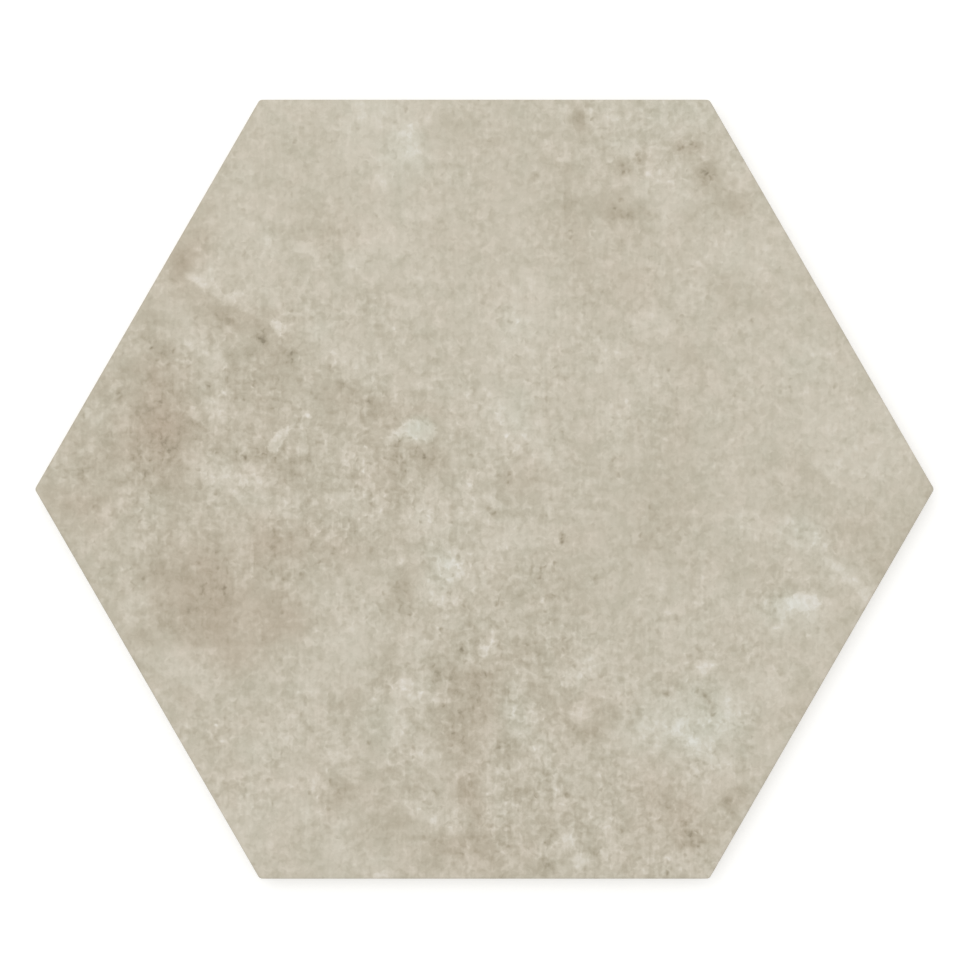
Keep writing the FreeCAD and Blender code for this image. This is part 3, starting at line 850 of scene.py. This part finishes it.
strewn = add_node(tree, "TexVoronoi", {"Vector": crumbly, "Scale": 1 / GRAIN_SPACING}, None, voronoi_dimensions="2D")
within = add_node(
    tree,
    "MapRange",
    {
        "Value": strewn.outputs["Distance"],
        "From Min": 0.1 * GRAIN_RADIUS / GRAIN_SPACING,
        "From Max": GRAIN_RADIUS / GRAIN_SPACING,
        "To Min": 1.0,
        "To Max": 0.0,
    },
    interpolation_type="SMOOTHSTEP",
)
cell_chance = add_node(tree, "SeparateColor", [strewn.outputs["Color"]])
grain_steps = add_node(tree, "MapRange", {"Value": cell_chance, "To Min": DARKEST_GRAIN, "To Max": LIGHTEST_GRAIN})
grained = add_node(tree, "Math", [within, grain_steps, grained], operation="MULTIPLY_ADD")
band = flat_noise(crumbly, BAND, 3.0, 0.6)
banded = add_node(
    tree, "MapRange", {"Value": band, "From Min": 0.3, "From Max": 0.7, "To Min": FAINT, "To Max": STRONG}
)
strength = add_node(tree, "Math", [busy, banded], operation="MULTIPLY")
grained = add_node(tree, "Math", [grained, strength, stepped], operation="MULTIPLY_ADD")

# %% [markdown]
# ## The print: torn edges of the flecks
#
# The stored distance and a fine noise are added, and a Map Range with a span of about a millimetre cuts them off.
# Lime takes up the colour evenly, so inside a fleck a part of the grain is taken away again.

# %% Cut the flecks out
TEAR_SIZE = 3.5
TEAR_REACH = 3.6
CUT_FROM, CUT_TO = -0.3, 0.6
CALM = 0.2

lime_inside = add_node(tree, "Attribute", output="Fac", attribute_name="lime")
whiteness = add_node(tree, "Attribute", output="Fac", attribute_name="lime_steps")
torn = shade_with(lime_inside, flat_noise(crumbly, TEAR_SIZE, 3.0, 0.75), MIDDLE, TEAR_REACH)
cut = add_node(tree, "MapRange", {"Value": torn, "From Min": CUT_FROM, "From Max": CUT_TO})
rough_part = add_node(tree, "Math", [grained, painted], operation="SUBTRACT")
fleck_steps = add_node(tree, "Math", [rough_part, -CALM, whiteness], operation="MULTIPLY_ADD")
flecked = add_node(tree, "Math", [cut, fleck_steps, grained], operation="MULTIPLY_ADD")

# %% [markdown]
# ## The print: pores
#
# Pin holes are dark dots little more than a millimetre wide, and a few stand in short rows. The nearest of a list
# of points decides the tone, so one Map Range draws them all: a chain of distances keeps the smallest.

# %% Dot the pores
PORES = [
    (-23.4, 112.9), (-56.4, 103.3), (-66.8, 45), (-86.2, 51), (-82.3, 30.4), (-66.8, 26.8), (-48.7, 19.4), (-49.6, 14),
    (-85.3, 5.7), (-69.8, -8.6), (-40.9, 49.2), (7.6, 50), (25.7, 75), (58.8, 51.5), (79.6, 50.4), (54.9, 35.5),
    (104.3, 30.7), (38.2, 9), (39.7, 4.2), (46.3, -13.6), (75.1, -14.5), (86.5, -36.3), (-15, -20.8), (-9.7, -25.5),
    (-7.6, -19.9), (-13, -29.4), (-16, -34.5), (5.2, -33.9), (16.8, -23.5), (21, -22), (-13, -41.6), (-30, -30.9),
    (-22.2, -37.1), (-18.9, -9.8), (-5.8, -51.5), (-41.8, -72.6), (-34.1, -75.5), (-64.4, -86.5), (54.3, -61),
    (55.5, -71.1), (-18.1, -21.6), (-6, -34.6), (1.9, -41.1), (4, -41.1), (16.7, -26.4), (23, -14.5), (-22.8, -51.9),
    (-92.6, 41.4), (-98.9, 42.3), (-65.8, 44.3), (3.4, -34), (54.5, -57.3), (57.7, 101.3), (58.9, 102), (61.6, 102.9),
    (63, 102.3), (66.3, 93.8), (67.6, 92.4), (65, 94.7), (46.1, 98.3), (45.4, 99.7), (41.3, 94.4), (41, 96.4),
    (40.6, 86.2), (38.8, 83.5), (63.4, -60.2), (65.4, -61.4), (67, -63.3), (67.9, -65.2), (68.1, -67), (1.2, -5.7),
    (2.6, -7), (23.2, -13.4), (23, -15.8), (7.2, 4.6), (6.8, 2.2), (-88.9, 39), (-97.4, 38.6), (25.6, 76.9),
]
PORE_CORE, PORE_EDGE = 0.2, 0.9
PORE_STEPS = -21.0

nearest = FAR_AWAY
for x, y in PORES:
    pore = (x + OFF_GRID, y + OFF_GRID, 0)
    away = add_node(tree, "VectorMath", [crumbly, pore], "Value", operation="DISTANCE")
    nearest = add_node(tree, "Math", [away, nearest], operation="MINIMUM")
dots = add_node(
    tree,
    "MapRange",
    {"Value": nearest, "From Min": PORE_CORE, "From Max": PORE_EDGE, "To Min": PORE_STEPS, "To Max": 0.0},
)
print_tone = add_node(tree, "Math", [flecked, dots], operation="ADD")
print("pores:", len(PORES), "nodes so far:", len(tree.nodes))

# %% [markdown]
# ## The matt glaze
#
# The glaze is a thin glass that was made matt with fine crystals. The tone picks a colour between brown grey and
# lime white, and the warmth tints it. Glass has an IOR of 1.5, and the crystals scatter its reflections, so the
# roughness is high. To the eye it is a dry, stony surface with a faint sheen at a low angle.

# %% Make the matt glaze
GLAZE_TONES = {
    0.0: "#928872",
    0.25: "#B5AB96",
    0.5: "#C7BFAC",
    0.75: "#DAD3C3",
    1.0: "#ECE8DF",
}
TONE_SPAN = 80.0
WARM_TINT = "#FFF5F3"
COLD_TINT = "#F5FFFF"
LEVELS_APART = 25.0
PLAIN_WARMTH = 0.52
BLOTCH_SIZE, BLOTCH = 9.0, 0.3
GRIT, GRIT_DEPTH = 0.8, 0.03 * MM

pick_colour = add_node(tree, "MapRange", {"Value": print_tone, "From Min": -TONE_SPAN / 2, "From Max": TONE_SPAN / 2})
ramp = add_node(tree, "ValToRGB", [pick_colour], None)
while len(ramp.color_ramp.elements) < len(GLAZE_TONES):
    ramp.color_ramp.elements.new(0.5)
for element, (position, colour) in zip(ramp.color_ramp.elements, GLAZE_TONES.items()):
    element.position = position
    element.color = linear(colour)

painted_warmth = add_node(tree, "Attribute", output="Fac", attribute_name="warmth")
evenly_warm = add_node(tree, "Math", [painted_warmth, 1 / LEVELS_APART, PLAIN_WARMTH], operation="MULTIPLY_ADD")
warm_share = shade_with(evenly_warm, flat_noise(crumbly, BLOTCH_SIZE, 2.0, 0.7), MIDDLE, BLOTCH)
MIX_FACTOR, MIX_A, MIX_B, MIX_RESULT = 0, 6, 7, 2
tints = {MIX_FACTOR: warm_share, MIX_A: linear(COLD_TINT), MIX_B: linear(WARM_TINT)}
tint = add_node(tree, "Mix", tints, MIX_RESULT, data_type="RGBA")
colours = {MIX_FACTOR: 1.0, MIX_A: ramp.outputs["Color"], MIX_B: tint}
printed = add_node(tree, "Mix", colours, MIX_RESULT, data_type="RGBA", blend_type="MULTIPLY")

crystals = add_node(tree, "TexNoise", {"Vector": place, "Scale": PER_MM / GRIT, "Detail": 2.0, "Roughness": 0.6})
grit = add_node(tree, "Bump", {"Strength": 0.15, "Distance": GRIT_DEPTH, "Height": crystals})
glass = add_node(tree, "BsdfPrincipled", {"Base Color": printed, "Roughness": 0.58, "IOR": 1.5, "Normal": grit})
add_node(tree, "OutputMaterial", [glass], None)
print("nodes of the glaze:", len(tree.nodes))

# %% [markdown]
# ## The fired body
#
# The sides and the back are bare porcelain stoneware: dense, dry and a little warmer and darker than the glaze, with
# fine dark grains of the clay. A thin wash of white alumina keeps the tile from sticking to the rollers of the kiln,
# and rubs off on the crests of the ribs. Near the top of the sides the glaze spray ends in a ragged line.

# %% Make the fired body
BODY_TONES = {0.0: "#A99C86", 0.5: "#B9AE9A", 1.0: "#C6BCAA"}
GLAZE_EDGE = "#C4BDAC"
KILN_WASH = "#DAD7CF"
BODY_GRAIN = 0.9
CLAY_FROM, CLAY_SPAN = 0.2, 0.6
SPRAY_DEPTH = 1.3
SPRAY_BLOT, SPRAY_RAGGED, SPRAY_SOFT = 2.5, 1.2, 0.15
WASH_HEIGHT = 0.12
WASH_PATCH, WASH_MOST = 9.0, 0.8
PRESSED_GRAIN, PRESSED_DEPTH = 0.6, 0.05 * MM

body, tree = new_material("fired_porcelain_body")
place = add_node(tree, "TexCoord", output="Object")
in_mm = add_node(tree, "VectorMath", [place, (PER_MM, PER_MM, PER_MM)], operation="MULTIPLY")
height = add_node(tree, "SeparateXYZ", [in_mm], "Z")


def solid_noise(size, detail, roughness=0.6):
    """A noise through the body of the tile, with grains about as wide as size, in millimetres."""
    feeds = {"Vector": in_mm, "Scale": 1 / size, "Detail": detail, "Roughness": roughness}
    return add_node(tree, "TexNoise", feeds)


def mix_colours(factor, colour, other):
    """Two colours mixed by a factor."""
    return add_node(tree, "Mix", {MIX_FACTOR: factor, MIX_A: colour, MIX_B: other}, MIX_RESULT, data_type="RGBA")


clay = add_node(tree, "ValToRGB", [solid_noise(BODY_GRAIN, 3.0, 0.8)], None)
clay.color_ramp.elements.new(0.5)
for element, (position, colour) in zip(clay.color_ramp.elements, BODY_TONES.items()):
    element.position = CLAY_FROM + CLAY_SPAN * position
    element.color = linear(colour)

ragged = add_node(tree, "Math", [solid_noise(SPRAY_BLOT, 3.0, 0.7), SPRAY_RAGGED, height], operation="MULTIPLY_ADD")
spray_line = THICKNESS / MM - SPRAY_DEPTH + SPRAY_RAGGED / 2
sprayed = add_node(
    tree,
    "MapRange",
    {"Value": ragged, "From Min": spray_line - SPRAY_SOFT, "From Max": spray_line + SPRAY_SOFT},
)
washed = add_node(tree, "MapRange", {"Value": height, "From Min": WASH_HEIGHT, "From Max": 0.0})
patches = solid_noise(WASH_PATCH, 4.0, 0.7)
patchy = add_node(tree, "MapRange", {"Value": patches, "From Min": 0.38, "From Max": 0.62, "To Max": WASH_MOST})
wash = add_node(tree, "Math", [washed, patchy], operation="MULTIPLY")
coloured = mix_colours(sprayed, mix_colours(wash, clay.outputs["Color"], linear(KILN_WASH)), linear(GLAZE_EDGE))
pressed = solid_noise(PRESSED_GRAIN, 3.0)
grains = add_node(tree, "Bump", {"Strength": 0.4, "Distance": PRESSED_DEPTH, "Height": pressed})
fired = add_node(tree, "BsdfPrincipled", {"Base Color": coloured, "Roughness": 0.85, "IOR": 1.5, "Normal": grains})
add_node(tree, "OutputMaterial", [fired], None)
print("nodes of the body:", len(tree.nodes))

# %% [markdown]
# ## Put the finishes on
#
# The printed glaze covers the face and the rounded arris. A face belongs to it when its lowest corner lies above the
# foot of the arris. All the others show the fired body.

# %% Give each face its finish
tile.data.materials.clear()
tile.data.materials.append(glaze)
tile.data.materials.append(body)
arris_foot = THICKNESS - ARRIS_RADIUS - TOUCHING
for face in tile.data.polygons:
    lowest_corner = min(tile.data.vertices[corner].co.z for corner in face.vertices)
    face.material_index = 0 if lowest_corner > arris_foot else 1
glazed_faces = sum(face.material_index == 0 for face in tile.data.polygons)
print("glazed faces:", glazed_faces, "bare faces:", len(tile.data.polygons) - glazed_faces)

# %% [markdown]
# ## The floor and the light
#
# The tile lies on a plain pale floor. Its material adds a little light of its own only where the camera or a mirror
# looks at it, so the floor reads as white paper. Near the tile it adds less, so that the soft shade round the foot
# stays. The world gives most of the light, evenly from all sides, and one large soft lamp from above left gives the
# edges a lit and a shaded side.

# %% Lay the floor and light the studio
FLOOR_SIZE = 6.0
FLOOR_COLOUR = "#E9E9E7"
GLOW_NEAR, GLOW_FAR = 0.38, 0.55
NEAR, FAR = 0.15, 1.0
WORLD_LEVEL = 0.62
LAMP_SIZE = 1.4
LAMP_PLACE = (-0.3, 0.4, 1.6)
LAMP_POWER = 10.0


def seen_directly(tree):
    """One where the camera, a reflection or a look through glass sees a surface, and zero for its light on others."""
    path = add_node(tree, "LightPath", (), None)
    either = add_node(tree, "Math", [path.outputs["Is Camera Ray"], path.outputs["Is Glossy Ray"]], operation="MAXIMUM")
    return add_node(tree, "Math", [either, path.outputs["Is Transmission Ray"]], operation="MAXIMUM")


bpy.ops.object.select_all(action="DESELECT")
bpy.ops.mesh.primitive_plane_add(size=FLOOR_SIZE, location=(0, 0, 0))
floor = bpy.context.object
floor.name = "studio_floor"
paper, tree = new_material("white_paper")
place = add_node(tree, "TexCoord", output="Object")
from_middle = add_node(tree, "VectorMath", [place], "Value", operation="LENGTH")
level_of_paper = add_node(
    tree,
    "MapRange",
    {"Value": from_middle, "From Min": NEAR, "From Max": FAR, "To Min": GLOW_NEAR, "To Max": GLOW_FAR},
)
glow = add_node(tree, "Math", [seen_directly(tree), level_of_paper], operation="MULTIPLY")
sheet = add_node(
    tree,
    "BsdfPrincipled",
    {
        "Base Color": linear(FLOOR_COLOUR),
        "Roughness": 0.9,
        "Emission Color": (1.0, 1.0, 1.0, 1.0),
        "Emission Strength": glow,
    },
)
add_node(tree, "OutputMaterial", [sheet], None)
floor.data.materials.append(paper)

world = bpy.data.worlds.new("studio")
bpy.context.scene.world = world
world.use_nodes = True
tree = world.node_tree
tree.nodes.clear()
level_of_world = add_node(tree, "MapRange", {"Value": seen_directly(tree), "To Min": WORLD_LEVEL, "To Max": 1.0})
sky = add_node(tree, "Background", {"Color": (1.0, 1.0, 1.0, 1.0), "Strength": level_of_world})
add_node(tree, "OutputWorld", [sky], None)

bpy.ops.object.light_add(type="AREA", location=LAMP_PLACE)
lamp = bpy.context.object
lamp.name = "soft_lamp"
lamp.data.size = LAMP_SIZE
lamp.data.energy = LAMP_POWER
lamp.rotation_euler = (-Vector(LAMP_PLACE)).to_track_quat("-Z", "Y").to_euler()
print("lights:", lamp.name, "and", world.name)

# %% [markdown]
# ## The camera
#
# The photograph looks straight down on the tile from a little under a metre. A long lens keeps the six sides
# straight. The tile lies a few pixels right of and below the middle of the picture, so the camera stands as much
# to the left and up.

# %% Place the camera
LENS = 100.0
SENSOR = 36.0
PICTURE_PIXELS = 963
PIXELS_PER_MM = 3.36
RIGHT_OF_MIDDLE = 2.96
BELOW_MIDDLE = 7.7

picture_width = PICTURE_PIXELS / PIXELS_PER_MM * MM
distance = picture_width * LENS / SENSOR
camera_place = (-RIGHT_OF_MIDDLE / PIXELS_PER_MM * MM, BELOW_MIDDLE / PIXELS_PER_MM * MM, THICKNESS + distance)
bpy.ops.object.camera_add(location=camera_place, rotation=(0, 0, 0))
camera = bpy.context.object
camera.name = "camera_above"
camera.data.lens = LENS
camera.data.sensor_width = SENSOR
bpy.context.scene.camera = camera
bpy.context.scene.view_settings.view_transform = "Standard"
print("camera height, m:", round(camera_place[2], 3))
